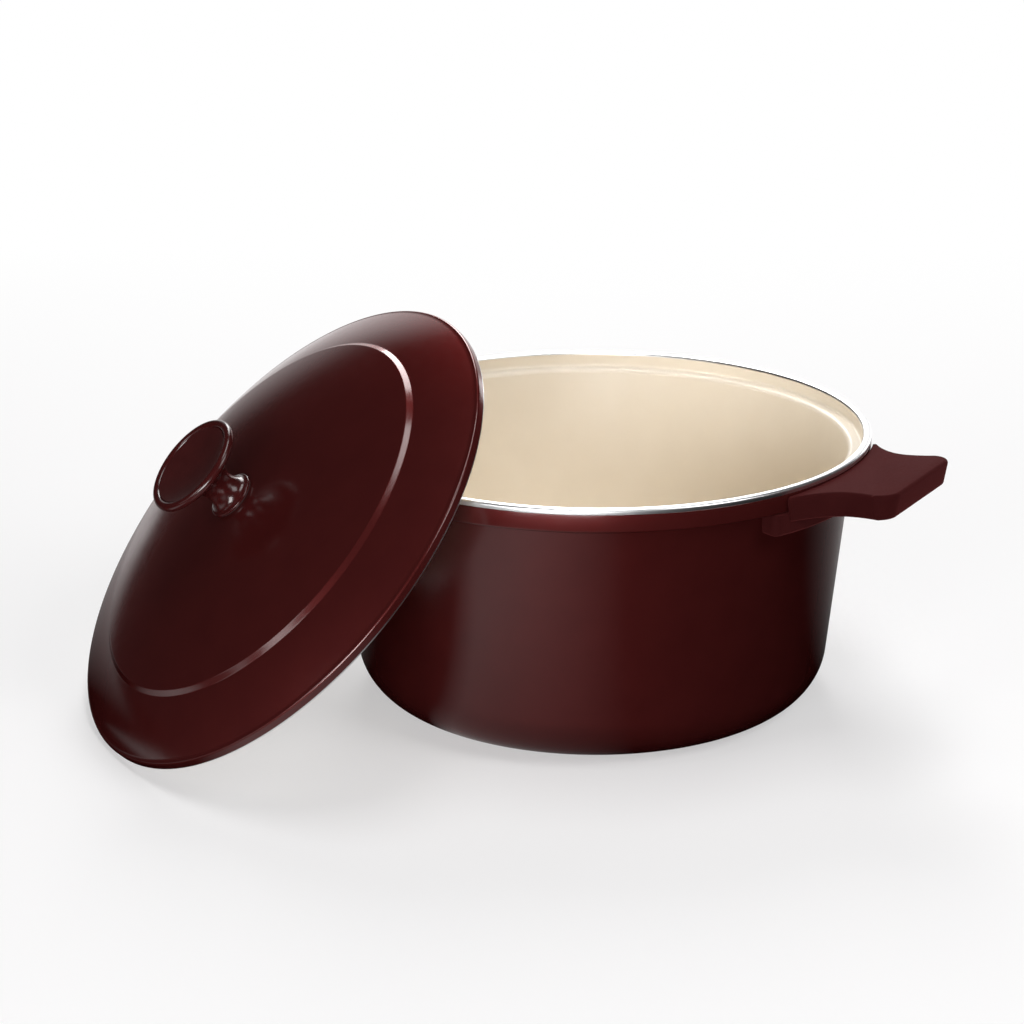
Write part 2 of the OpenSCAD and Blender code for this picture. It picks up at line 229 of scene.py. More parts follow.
# Floor as the camera sees it. Spans are in metres, along a direction or outwards from the object.
FLOOR_HALF = 8.0
NEAR_GLOW = 0.45
TINT_SPAN = (-0.35, 0.9)
FADE_AWAY = (0.1, 0.9)
FADE_AROUND = (0.5, 1.3)

# Floor as gloss mirrors it. Turns are in degrees to the right of the line away from the camera.
BEHIND_SPAN = (0, 0.7)
BEHIND_TURN = 58
BEHIND_SIDE = (-0.4, -0.15)
# Glowing patches by pot and lid, seen only in reflections, paint highlights onto the pot's wall and the
# lid.
POT_PATCH_TURN = -100
POT_PATCH_RISE = (0.0, 0.17)
POT_PATCH_TOP = 0.66
POT_PATCH_FALL = (0.2, 0.28)
POT_PATCH_EDGE_TURN = 144
POT_PATCH_EDGE = (0.005, 0.06)
POT_PATCH_NEAR = (-0.4, -0.26)
LID_PATCH_TURN = -90
LID_PATCH_RISE = (0.26, 0.31)
LID_PATCH_FALL = (0.37, 0.43)
LID_PATCH_NEAR = (-0.3, -0.2)
LID_PATCH_FAR = (-0.1, -0.04)

# Backdrop as the object sees it: its middle, its white core and its edge, in degrees
BACKDROP_TURN = 4
BACKDROP_RISE = 10
BACKDROP_CORE = 15
BACKDROP_EDGE = 34
STUDIO_DIM = 0.02


# Curves and profiles, as lists of (radius, height) in millimetres
def mix(a, b, t):
    """Value at a share of the way from a to b."""
    return a + (b - a) * t


def shares(steps):
    """Even shares from 0 to 1."""
    return [i / steps for i in range(steps + 1)]


def between(a, b, steps):
    """Even values from a to b."""
    return [mix(a, b, t) for t in shares(steps)]


def quarter_turn(steps):
    """Even angles of a quarter turn."""
    return [math.pi / 2 * i / steps for i in range(steps + 1)]


def arc(centre, radius, start, end, steps=ARC_STEPS):
    """Points of an arc round centre between two angles in degrees."""
    angles = [math.radians(start + (end - start) * i / steps) for i in range(steps + 1)]
    return [(centre[0] + radius * math.cos(a), centre[1] + radius * math.sin(a)) for a in angles]


def bend(before, corner, after, reach, steps=BEND_STEPS):
    """A curve that rounds a corner, starting and ending at a distance from it."""
    before, corner, after = Vector(before), Vector(corner), Vector(after)
    start = corner + (before - corner).normalized() * reach
    end = corner + (after - corner).normalized() * reach
    return [tuple(start.lerp(corner, t).lerp(corner.lerp(end, t), t)) for t in shares(steps)]


def polar(radius, angle):
    """Point in plan at a radius and an angle."""
    return Vector((radius * math.cos(angle), radius * math.sin(angle)))


WALL_SLOPE = math.tan(WALL_LEAN)
LEAN_DEG = math.degrees(WALL_LEAN)
SEAT_IN_R = RECESS_R - SEAT_W
WALL_TOP_Z = SEAT_Z - SEAT_ROUND * (1 - math.sin(WALL_LEAN))
INNER_FOOT_R = SEAT_IN_R - SEAT_ROUND * math.cos(WALL_LEAN) - WALL_TOP_Z * WALL_SLOPE


def inner_r(z):
    """Radius of the pot's inside wall at a height."""
    return INNER_FOOT_R + z * WALL_SLOPE


def outer_r(z):
    """Radius of the pot's outside wall at a height."""
    return inner_r(z) + WALL_T / math.cos(WALL_LEAN)


def foot_arc(wall_r, floor_z, rounding):
    """Centre of the arc that joins a floor to its leaning wall."""
    z = floor_z + rounding
    return (wall_r(z) - rounding / math.cos(WALL_LEAN), z)


BASE_ARC = foot_arc(outer_r, BASE_Z, BASE_ROUND)
FLOOR_ARC = foot_arc(inner_r, FLOOR_Z, FLOOR_ROUND)


def pot_outside(inset):
    """Outside of the pot from the base to the top of the enamel, moved inwards."""
    fillet = BAND_FILLET + inset
    fillet_z = BAND_Z + inset - fillet
    fillet_r = outer_r(fillet_z) + (fillet - inset) / math.cos(WALL_LEAN)
    return (
        arc(BASE_ARC, BASE_ROUND - inset, -90, -LEAN_DEG, FINE_ARC_STEPS)
        + arc((fillet_r, fillet_z), fillet, 180 - LEAN_DEG, 90)
        + arc((RIM_R - RIM_ROUND, BAND_Z + RIM_ROUND), RIM_ROUND - inset, -90, 0)
    )


def pot_inside(inset):
    """Inside of the pot from the top of the lining to the floor's middle, moved into the metal."""
    return (
        [(RECESS_R + inset, POT_H - RIM_ROUND)]
        + arc((RECESS_R - SEAT_FILLET, SEAT_Z + SEAT_FILLET), SEAT_FILLET + inset, 0, -90)
        + arc((SEAT_IN_R, SEAT_Z - SEAT_ROUND), SEAT_ROUND - inset, 90, 180 - LEAN_DEG, SEAT_STEPS)
        + arc(FLOOR_ARC, FLOOR_ROUND + inset, -LEAN_DEG, -90, FINE_ARC_STEPS)
        + [(0, FLOOR_Z - inset)]
    )


def dome_z(r, power):
    """Height of the lid's dome at a radius."""
    return DOME_H + (CROWN_H - DOME_H) * (1 - (r / DOME_R) ** power)


def brim_z(r):
    """Height of the lid's brim at a radius, a slope with a slight bow."""
    t = (r - STEP_R) / (LID_R - EDGE_ROUND - STEP_R)
    return mix(BRIM_H, EDGE_H, t) + 4 * BRIM_BOW * t * (1 - t)


def lid_skin(drop, outer, power):
    """Face of the lid from the screw hole out to a radius, moved down: dome, sloping step, brim."""
    dome = [(r, dome_z(r, power)) for r in between(HOLE_R, DOME_R - STEP_MARGIN, DOME_STEPS)]
    brim = [(r, brim_z(r)) for r in between(STEP_R + STEP_MARGIN, outer, BRIM_STEPS)]
    step_top, step_foot = (DOME_R, DOME_H), (STEP_R, BRIM_H)
    face = [(mix(DOME_R, STEP_R, t), mix(DOME_H, BRIM_H, t)) for t in STEP_FACE_SHARES]
    upper = bend(dome[-1], step_top, step_foot, STEP_BEND)
    lower = bend(step_top, step_foot, brim[0], STEP_BEND)
    return [(r, z - drop) for r, z in dome + upper + face + lower + brim]


def lid_edge(inset):
    """Rounded upper edge of the lid down to the bare line, moved inwards."""
    centre = (LID_R - EDGE_ROUND, EDGE_H - EDGE_ROUND)
    return arc(centre, EDGE_ROUND - inset, EDGE_START_DEG, 0) + [(LID_R - inset, BARE_EDGE_H)]


def lid_top(inset):
    """Top of the lid from the screw hole to the bare line, moved inwards."""
    return lid_skin(inset, LID_R - EDGE_ROUND, TOP_POWER) + lid_edge(inset)


def lid_under(lift):
    """Underside of the lid from the screw hole to its foot, moved into the metal."""
    return lid_skin(LID_T - lift, LID_FOOT_R - LID_FOOT_FLANK, UNDER_POWER)


# Meshes
def smooth(piece):
    """Smooth shading that keeps sharp edges crisp."""
    piece.data.shade_smooth()
    piece.data.set_sharp_from_angle(angle=SHARP)


def finish_mesh(name, bm, place=Matrix.Identity(4), turns=None):
    """A smooth-shaded object from a bmesh in millimetres, moved to its place."""
    bmesh.ops.scale(bm, vec=(MM, MM, MM), verts=bm.verts)
    bmesh.ops.transform(bm, matrix=place, verts=bm.verts)
    bmesh.ops.recalc_face_normals(bm, faces=bm.faces)
    mesh = bpy.data.meshes.new(name)
    bm.to_mesh(mesh)
    bm.free()
    if turns:
        mesh.attributes.new("turn", "FLOAT_VECTOR", "POINT").data.foreach_set("vector", turns)
    piece = bpy.data.objects.new(name, mesh)
    bpy.context.scene.collection.objects.link(piece)
    smooth(piece)
    return piece


def lathe(name, profile, place=Matrix.Identity(4), steps=SPIN_STEPS):
    """A closed profile turned about Z and moved to its place. Vertices keep their radius and height."""
    bm = bmesh.new()
    rings = []
    turns = []
    for r, z in profile:
        angles = [2 * math.pi * i / steps for i in range(steps)] if r > ON_AXIS else [0]
        ring = [bm.verts.new((r * math.cos(a), r * math.sin(a), z)) for a in angles]
        turns += [r * MM, 0, z * MM] * len(ring)
        rings.append(ring if len(ring) == steps else ring * steps)
    for lower, upper in zip(rings, rings[1:] + rings[:1]):
        for i in range(steps):
            j = (i + 1) % steps
            corners = list(dict.fromkeys([lower[i], lower[j], upper[j], upper[i]]))
            if len(corners) > 2:
                bm.faces.new(corners)
    return finish_mesh(name, bm, place, turns)


def shell(outside, inside):
    """Closed profile of a skin from its two faces."""
    return outside + inside[::-1]


def inset_outline(points, distance):
    """A closed outline moved inwards along its corner normals."""
    moved = []
    for i, p in enumerate(points):
        along_in = (p - points[i - 1]).normalized()
        along_out = (points[(i + 1) % len(points)] - p).normalized()
        normal = Vector((-along_in.y - along_out.y, along_in.x + along_out.x))
        moved.append(p + normal * distance / max(MITRE_LIMIT, normal.length_squared / 2))
    return moved


def slab(outline, levels):
    """Bmesh of a slab from a counter-clockwise outline and levels, each an inset and a height."""
    bm = bmesh.new()
    rings = []
    for inset, z in levels:
        rings.append([bm.verts.new((p.x, p.y, z)) for p in inset_outline(outline, inset)])
    count = len(outline)
    for lower, upper in zip(rings, rings[1:]):
        for i in range(count):
            j = (i + 1) % count
            bm.faces.new((lower[i], lower[j], upper[j], upper[i]))
    bm.faces.new(rings[0][::-1])
    bm.faces.new(rings[-1])
    return bm


def round_levels(low, high, low_edge, high_edge, draft=0.0):
    """Levels of a slab with round edges, whose sides draw in by a draft towards the bottom."""
    bottom = []
    top = []
    for a in quarter_turn(EDGE_STEPS):
        bottom.append((draft + low_edge * (1 - math.sin(a)), low + low_edge * (1 - math.cos(a))))
        top.append((high_edge * (1 - math.cos(a)), high - high_edge * (1 - math.sin(a))))
    return bottom + top


def mirrored(half):
    """A counter-clockwise outline beside the rim from the half with y above zero."""
    low = [Vector((RIM_R + x, -y)) for x, y in half]
    return low + [Vector((RIM_R + x, y)) for x, y in reversed(half)]


def cylinder(name, radius, x):
    """A tall upright cylinder about a place on the X axis, for cutting."""
    bm = bmesh.new()
    bmesh.ops.create_cone(
        bm, cap_ends=True, segments=SPIN_STEPS, radius1=radius, radius2=radius, depth=CUTTER_H,
        matrix=Matrix.Translation((x, 0, 0)),
    )
    return finish_mesh(name, bm)


def boolean(piece, cutter, operation):
    """Joins or cuts a piece with another, which is then removed."""
    modifier = piece.modifiers.new(operation.lower(), "BOOLEAN")
    modifier.operation = operation
    modifier.solver = "EXACT"
    modifier.object = cutter
    depsgraph = bpy.context.evaluated_depsgraph_get()
    mesh = bpy.data.meshes.new_from_object(piece.evaluated_get(depsgraph))
    old = piece.data
    piece.modifiers.clear()
    piece.data = mesh
    bpy.data.meshes.remove(old)
    mesh.name = piece.name
    bpy.data.objects.remove(cutter)


# Materials
class Shader:
    """A node material with short calls for the parts that repeat."""

    def __init__(self, name):
        self.material = bpy.data.materials.new(name)
        self.material.use_nodes = True
        self.nodes = self.material.node_tree.nodes
        self.links = self.material.node_tree.links
        self.bsdf = self.nodes["Principled BSDF"]
        self.place = self.nodes.new("ShaderNodeTexCoord").outputs["Object"]

    def set(self, **values):
        """Constants on the main shader's sockets, with an underscore for each space in a name."""
        for name, value in values.items():
            self.bsdf.inputs[name.replace("_", " ")].default_value = value
        return self

    def link(self, source, target):
        """Joins an output to a socket of the main shader."""
        self.links.new(source, self.bsdf.inputs[target])

    def noise(self, scale, detail=2.0, roughness=0.5, place=None):
        """Noise of a scale per metre."""
        node = self.nodes.new("ShaderNodeTexNoise")
        node.inputs["Scale"].default_value = scale
        node.inputs["Detail"].default_value = detail
        node.inputs["Roughness"].default_value = roughness
        self.links.new(place or self.place, node.inputs["Vector"])
        return node.outputs["Fac"]

    def spread(self, source, low, high, start=0.3, end=0.7):
        """A value carried from one span to another."""
        node = self.nodes.new("ShaderNodeMapRange")
        node.inputs["From Min"].default_value = start
        node.inputs["From Max"].default_value = end
        node.inputs["To Min"].default_value = low
        node.inputs["To Max"].default_value = high
        self.links.new(source, node.inputs["Value"])
        return node.outputs["Result"]

    def rise(self, source, span, top=1):
        """A value that climbs from 0 to its top within a span."""
        return self.spread(source, 0, top, *span)

    def fall(self, source, span):
        """A value that drops from 1 to 0 within a span."""
        return self.spread(source, 1, 0, *span)

    def tones(self, source, low, high, start=0.3, end=0.7):
        """A colour between two tones."""
        node = self.nodes.new("ShaderNodeValToRGB")
        node.color_ramp.elements[0].position = start
        node.color_ramp.elements[0].color = (*low, 1)
        node.color_ramp.elements[1].position = end
        node.color_ramp.elements[1].color = (*high, 1)
        self.links.new(source, node.inputs["Fac"])
        return node.outputs["Color"]

    def bump(self, source, distance, strength=0.5, under=None):
        """A normal tilted by heights, on top of another one if given."""
        node = self.nodes.new("ShaderNodeBump")
        node.inputs["Distance"].default_value = distance
        node.inputs["Strength"].default_value = strength
        self.links.new(source, node.inputs["Height"])
        if under:
            self.links.new(under, node.inputs["Normal"])
        return node.outputs["Normal"]

    def along(self, direction):
        """Distance of a place along a direction."""
        node = self.nodes.new("ShaderNodeVectorMath")
        node.operation = "DOT_PRODUCT"
        node.inputs[1].default_value = direction
        self.links.new(self.place, node.inputs[0])
        return node.outputs["Value"]

    def reach(self):
        """Distance of a place from the middle of the object's base."""
        node = self.nodes.new("ShaderNodeVectorMath")
        node.operation = "LENGTH"
        self.links.new(self.place, node.inputs[0])
        return node.outputs["Value"]

    def fold(self, operation, first, *others):
        """Values joined one after another by a math operation."""
        joined = first
        for value in others:
            node = self.nodes.new("ShaderNodeMath")
            node.operation = operation
            self.links.new(joined, node.inputs[0])
            self.links.new(value, node.inputs[1])
            joined = node.outputs["Value"]
        return joined

    def blend(self, share, first, second):
        """Two shaders mixed by a share."""
        node = self.nodes.new("ShaderNodeMixShader")
        self.links.new(share, node.inputs["Fac"])
        self.links.new(first, node.inputs[1])
        self.links.new(second, node.inputs[2])
        return node.outputs["Shader"]

    def turned(self):
        """Radius and height of a turned piece, in which noise becomes rings."""
        node = self.nodes.new("ShaderNodeAttribute")
        node.attribute_name = "turn"
        return node.outputs["Vector"]


def enamel_material():
    """Burgundy enamel with fine pearl flakes in it, under a satin clear coat with a faint orange peel."""
    shader = Shader("burgundy_enamel").set(
        Metallic=0.62, Roughness=0.45, Specular_IOR_Level=0.0, Specular_Tint=(1.0, 0.42, 0.40, 1),
        Coat_Weight=1.0, Coat_IOR=1.48,
    )
    shader.link(shader.tones(shader.noise(55, detail=4), BURGUNDY_DEEP, BURGUNDY), "Base Color")
    shader.link(shader.spread(shader.noise(240, detail=3), low=0.14, high=0.18), "Coat Roughness")
    peel = shader.bump(shader.noise(420), distance=0.00002)
    shader.link(shader.bump(shader.noise(2600), distance=0.000006, under=peel), "Coat Normal")
    return shader.material


def ceramic_material():
    """Smooth cream ceramic with a slight mottle."""
    shader = Shader("cream_ceramic").set(IOR=1.45)
    shader.link(shader.tones(shader.noise(45, detail=4), CREAM_DEEP, CREAM), "Base Color")
    shader.link(shader.spread(shader.noise(300, detail=3), low=0.30, high=0.38), "Roughness")
    shader.link(shader.bump(shader.noise(500), distance=0.00002), "Normal")
    return shader.material


def bare_metal(name, colour, roughness, line_scale, rings=True):
    """Bare metal with fine lines that run round its axis, or with an even grain."""
    shader = Shader(name).set(Metallic=1.0)
    lines = shader.noise(line_scale, detail=3, roughness=0.6, place=shader.turned() if rings else None)
    shader.link(shader.tones(lines, tuple(LINE_SHADE * c for c in colour), colour), "Base Color")
    shader.link(shader.spread(lines, roughness * LINE_ROUGH, roughness * LINE_SMOOTH), "Roughness")
    shader.link(shader.bump(lines, distance=0.00002), "Normal")
    return shader.material


def silicone_material():
    """Matte moulded silicone with a fine grain and a faint red bloom."""
    shader = Shader("burgundy_silicone").set(
        IOR=1.38, Specular_IOR_Level=0.01, Sheen_Weight=0.13, Sheen_Roughness=0.5,
        Sheen_Tint=(1.0, 0.2, 0.2, 1),
    )
    shader.link(shader.tones(shader.noise(70, detail=4), SILICONE_DEEP, SILICONE), "Base Color")
    shader.link(shader.spread(shader.noise(900, detail=3), low=0.52, high=0.62), "Roughness")
    grain = shader.bump(shader.noise(2400, detail=3), distance=0.00003)
    shader.link(shader.bump(shader.noise(160), distance=0.0001, strength=0.4, under=grain), "Normal")
    return shader.material


def knob_material(name, low, high):
    """Moulded plastic in a darker tone of the enamel, with a roughness between two values."""
    shader = Shader(name).set(IOR=1.45)
    shader.link(shader.tones(shader.noise(120, detail=3), KNOB_BURGUNDY_DEEP, KNOB_BURGUNDY), "Base Color")
    shader.link(shader.spread(shader.noise(400, detail=3), low, high), "Roughness")
    shader.link(shader.bump(shader.noise(900), distance=0.00001), "Normal")
    return shader.material


def gasket_material():
    """Dark rubber gasket with a fine grain."""
    shader = Shader("gasket_rubber").set(IOR=1.45)
    shader.link(shader.tones(shader.noise(300, detail=3), GASKET, SILICONE_DEEP), "Base Color")
    shader.link(shader.spread(shader.noise(1500), low=0.55, high=0.7), "Roughness")
    shader.link(shader.bump(shader.noise(3000), distance=0.00002), "Normal")
    return shader.material


ENAMEL = enamel_material()
CERAMIC = ceramic_material()
RIM_METAL = bare_metal("turned_aluminium", ALUMINIUM, roughness=0.30, line_scale=2600)
PLATE_STEEL = bare_metal("turned_steel", STEEL, roughness=0.34, line_scale=1800)
SCREW_STEEL = bare_metal("screw_steel", STEEL, roughness=0.28, line_scale=5200, rings=False)
INSERT_BRASS = bare_metal("machined_brass", BRASS, roughness=0.30, line_scale=4200, rings=False)
SILICONE_SKIN = silicone_material()
KNOB_PLASTIC = knob_material("burgundy_knob", low=0.17, high=0.22)
KNOB_SATIN = knob_material("burgundy_knob_plate", low=0.36, high=0.42)
GASKET_RUBBER = gasket_material()


def dress(piece, body, slot, material, *nodes):
    """Gives a piece its material and body, and hides the nodes that it stands for. The slot is not used.
    """
    piece.data.materials.clear()
    piece.data.materials.append(material)
    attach(piece, body)
    if nodes:
        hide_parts(*nodes)


# Pot
def make_pot():
    """Cast body with a bare rim, its enamel coat and its ceramic lining."""
    rim = (
        arc((RIM_R - RIM_ROUND, POT_H - RIM_ROUND), RIM_ROUND, 0, 90)
        + arc((RECESS_R + RIM_ROUND, POT_H - RIM_ROUND), RIM_ROUND, 90, 180)
    )
    plate_seat = [(0, PLATE_T), (PLATE_R, PLATE_T), (PLATE_R, BASE_Z), (BASE_ARC[0], BASE_Z)]
    casting = plate_seat + pot_outside(COAT_T) + [(RIM_R - COAT_T, COAT_TOP_Z), (RIM_R, COAT_TOP_Z)]
    casting += rim + pot_inside(COAT_T)
    dress(lathe("pot_body", casting), "pot", "bare_aluminium", RIM_METAL, "pot_casting")
    coat_edge = arc((RIM_R - COAT_EDGE, COAT_TOP_Z - COAT_EDGE), COAT_EDGE, 0, 90, SMALL_ARC_STEPS)
    coat = shell(pot_outside(0) + coat_edge, pot_outside(COAT_T) + [(RIM_R - COAT_T, COAT_TOP_Z)])
    dress(lathe("pot_enamel_coat", coat), "pot", "enamel", ENAMEL, "pot_enamel")
    lining = shell(pot_inside(0), pot_inside(COAT_T))
    dress(lathe("pot_ceramic_lining", lining), "pot", "ceramic", CERAMIC, "pot_lining")


def make_base_plate():
    """Steel disc in the base with ring grooves in its face."""
    profile = [(0, PLATE_T), (PLATE_R, PLATE_T)]
    profile += arc((PLATE_R - PLATE_EDGE, PLATE_EDGE), PLATE_EDGE, 0, -90, SMALL_ARC_STEPS)
    for i in range(PLATE_RINGS, 0, -1):
        ring_r = PLATE_R * i / (PLATE_RINGS + 1)
        profile += [
            (ring_r + PLATE_GROOVE, 0), (ring_r + PLATE_GROOVE / 2, PLATE_GROOVE),
            (ring_r - PLATE_GROOVE / 2, PLATE_GROOVE), (ring_r - PLATE_GROOVE, 0),
        ]
    profile.append((0, 0))
    dress(lathe("base_plate", profile), "pot", "steel", PLATE_STEEL, "induction_plate")


def lug_slab(grow):
    """Bmesh of a lug in the pot's frame, with its faces moved outwards."""
    corner = (LUG_LEN - LUG_CORNER, LUG_TIP_W / 2 - LUG_CORNER)
    half = [(-ROOT_OVERLAP, LUG_ROOT_W / 2 + grow), (0, LUG_ROOT_W / 2 + grow)]
    half += arc(corner, LUG_CORNER + grow, 90, 0, LUG_CORNER_STEPS)
    low, high = LUG_Z - LUG_T / 2 - grow, LUG_Z + LUG_T / 2 + grow
    return slab(mirrored(half), round_levels(low, high, LUG_EDGE, LUG_EDGE))


def make_lug(name, turn):
    """Enamelled lug that a grip slips over, turned about the pot's axis."""
    lug = finish_mesh(name, lug_slab(0))
    boolean(lug, cylinder("bore", RIM_R - COAT_T / 2, 0), "DIFFERENCE")
    lug.data.transform(Matrix.Rotation(turn, 4, "Z"))
    smooth(lug)
    dress(lug, "pot", "enamel", ENAMEL)


# Grips
def grip_half_width(x):
    """Half of a grip's width, least at its waist and growing both ways."""
    end_x, end = (GRIP_ROOT_X, GRIP_ROOT) if x < GRIP_WAIST_X else (GRIP_SHOULDER_X, GRIP_SHOULDER)
    return mix(GRIP_WAIST, end, ((GRIP_WAIST_X - x) / (GRIP_WAIST_X - end_x)) ** 2)


def grip_outline():
    """Plan of a grip in the pot's frame, counter-clockwise, with blunt ends that run in past the rim."""
    side = [(x, grip_half_width(x)) for x in between(GRIP_ROOT_X, GRIP_SHOULDER_X, GRIP_SIDE_STEPS)]
    slope = math.atan2(side[-1][1] - side[-2][1], side[-1][0] - side[-2][0])
    centre = (GRIP_LEN - GRIP_CORNER, side[-1][1] - GRIP_CORNER * math.cos(slope))
    corner = arc(centre, GRIP_CORNER, 90 + math.degrees(slope), 0, GRIP_CORNER_STEPS)[1:]
    inward = polar(-ROOT_OVERLAP, GRIP_END_ANGLE)
    inner = (side[0][0] + inward.x, side[0][1] + inward.y)
    return mirrored([inner] + side + corner)


def tab_outline():
    """Plan of the tab that hugs the wall under the band, counter-clockwise, with round outer corners."""
    inner = outer_r(TAB_TOP_Z) + GRIP_CLEAR
    span = TAB_HALF_ANGLE - TAB_CORNER / TAB_OUT_R
    outside = [polar(TAB_OUT_R, angle) for angle in between(-span, span, TAB_STEPS)]
    inside = [polar(inner, angle) for angle in between(TAB_HALF_ANGLE, -TAB_HALF_ANGLE, TAB_STEPS)]
    ends = []
    for side in (1, -1):
        before = polar(TAB_OUT_R, side * span)
        corner = polar(TAB_OUT_R, side * TAB_HALF_ANGLE)
        after = polar(inner, side * TAB_HALF_ANGLE)
        ends.append([Vector(p) for p in bend(before, corner, after, TAB_CORNER, TAB_CORNER_STEPS)])
    return outside[1:-1] + ends[0] + inside + ends[1][::-1]


def make_grip(name, body, turn):
    """Silicone grip with a tab under the band and a socket for its lug, turned about the pot's axis."""
    levels = round_levels(-GRIP_T / 2, GRIP_T / 2, GRIP_LOW_EDGE, GRIP_TOP_EDGE, GRIP_DRAFT)
    bar = slab(grip_outline(), levels)
    for vert in bar.verts:
        vert.co.z += GRIP_MID_Z + (vert.co.x - RIM_R) * GRIP_RISE
    grip = finish_mesh(name, bar)
    boolean(grip, cylinder("bore", GRIP_BORE_R, RIM_R + GRIP_CLEAR - GRIP_BORE_R), "DIFFERENCE")
    tab = slab(tab_outline(), round_levels(TAB_Z, TAB_TOP_Z, TAB_EDGE, TAB_EDGE / 2))
    boolean(grip, finish_mesh("tab", tab), "UNION")
    boolean(grip, finish_mesh("socket", lug_slab(GRIP_CLEAR)), "DIFFERENCE")
    grip.data.transform(Matrix.Rotation(turn, 4, "Z"))
    smooth(grip)
    dress(grip, body, "silicone", SILICONE_SKIN, body)


# Lid and knob
def middle_of(node):
    """Middle of a turned CAD node, from its distinct vertices."""
    places = {tuple(round(c, 7) for c in v.co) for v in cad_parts[node].data.vertices}
    return sum((Vector(p) for p in places), Vector()) / len(places)


def lid_matrix():
    """Place of the lid's own frame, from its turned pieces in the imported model."""
    up = (middle_of("knob_insert") - middle_of("screw_washer")).normalized()
    origin = middle_of("knob_seal") - up * (CROWN_H + SEAL_T / 2) * MM
    return Matrix.Translation(origin) @ up.to_track_quat("Z", "Y").to_matrix().to_4x4()


def make_lid(place):
    """Cast lid with a bare edge line, its enamel coat and its ceramic lining."""
    foot = [(LID_FOOT_R, 0), (LID_R - EDGE_CHAMFER, 0), (LID_R, EDGE_CHAMFER)]
    metal = lid_top(COAT_T) + [(LID_R, BARE_EDGE_H)] + foot[::-1] + lid_under(COAT_T)[::-1]
    dress(lathe("lid_body", metal, place), "lid", "bare_aluminium", RIM_METAL, "lid_casting")
    coat = shell(lid_top(0), lid_top(COAT_T))
    dress(lathe("lid_enamel_coat", coat, place), "lid", "enamel", ENAMEL, "lid_enamel")
    lining = shell(lid_under(COAT_T), lid_under(0))
    dress(lathe("lid_ceramic_lining", lining, place), "lid", "ceramic", CERAMIC, "lid_lining")


def dish(radius, lift):
    """Hollow in the knob's top from the middle out to a radius, moved up."""
    return [(radius * t, mix(DISH_LOW_Z, DISH_EDGE_Z, t ** 2) + lift) for t in shares(DISH_STEPS)]


def make_knob(place):
    """Knob with a flared foot, a narrow neck and a rolled bead round its dish."""
    foot_z = SEAL_Z + KNOB_FOOT_EDGE
    foot = []
    flare = []
    for a in quarter_turn(KNOB_STEPS):
        foot.append((mix(KNOB_FOOT_R, NECK_R, math.sin(a)), mix(foot_z, NECK_Z, 1 - math.cos(a))))
        flare.append((mix(NECK_R, FLARE_R, 1 - math.cos(a)), mix(NECK_Z, FLARE_Z, math.sin(a))))
    edge = bend((KNOB_FOOT_R, SEAL_Z), foot[0], foot[1], KNOB_FOOT_BEND)
    bead = arc((BEAD_RING_R, BEAD_Z), BEAD_R, BEAD_START_DEG, 180, BEAD_STEPS)
    body = [(HOLE_R, SEAL_Z), (KNOB_FOOT_R, SEAL_Z)] + edge + foot[2:] + flare[1:] + bead
    body += dish(DISH_SEAT_R, 0)[::-1] + [(0, INSERT_Z), (HOLE_R, INSERT_Z)]
    dress(lathe("knob_grip", body, place, SMALL_SPIN), "lid", "knob", KNOB_PLASTIC, "knob_body")


def make_knob_plate(place):
    """Dished plate let into the knob's top."""
    plate = lathe("knob_top_plate", shell(dish(DISH_R, DISH_T), dish(DISH_R, DISH_GAP)), place, SMALL_SPIN)
    dress(plate, "lid", "knob", KNOB_SATIN, "knob_plate")


def make_gasket(place):
    """Thin gasket between the knob's foot and the lid."""
    seal_r = KNOB_FOOT_R - SEAL_INSET
    ring = [(HOLE_R, CROWN_H), (seal_r, CROWN_H), (seal_r, SEAL_Z), (HOLE_R, SEAL_Z)]
    dress(lathe("knob_gasket", ring, place, SMALL_SPIN), "lid", "seal", GASKET_RUBBER, "knob_seal")


def dress_cad_nodes():
    """Screw, washers and insert keep their solids and take their metal."""
    metals = {
        "knob_screw": SCREW_STEEL, "screw_washer": SCREW_STEEL, "spring_washer": SCREW_STEEL,
        "knob_insert": INSERT_BRASS,
    }
    for node, metal in metals.items():
        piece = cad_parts[node]
        piece.data.materials.clear()
        piece.data.materials.append(metal)


# Stage
def toward(turn, rise):
    """Direction turned to the right of the line away from the camera, and raised, in degrees."""
    angle = math.pi / 2 + VIEW_AZIMUTH - math.radians(turn)
    flat = math.cos(math.radians(rise))
    return Vector((flat * math.cos(angle), flat * math.sin(angle), math.sin(math.radians(rise))))


def make_camera():
    camera = bpy.data.objects.new("camera", bpy.data.cameras.new("camera"))
    camera.data.lens = CAMERA_LENS
    camera.data.sensor_width = SENSOR_W
    camera.location = CAMERA_PLACE
    camera.rotation_euler = (math.pi / 2 - VIEW_PITCH, 0, VIEW_AZIMUTH)
    bpy.context.scene.collection.objects.link(camera)
    bpy.context.scene.camera = camera


def floor_seen(shader):
    """Floor for the camera: pale, with soft shadows, fading to white far from the object."""
    away = shader.along(toward(0, 0))
    tint = shader.tones(shader.rise(away, TINT_SPAN), FLOOR_NEAR, WHITE, 0, 1)
    glow = shader.nodes.new("ShaderNodeEmission")
    shader.links.new(tint, glow.inputs["Color"])
    fade_away = shader.spread(away, NEAR_GLOW, 1, *FADE_AWAY)
    fade_around = shader.rise(shader.reach(), FADE_AROUND)
    share = shader.fold("MAXIMUM", fade_away, fade_around)
    return shader.blend(share, shader.bsdf.outputs["BSDF"], glow.outputs["Emission"])


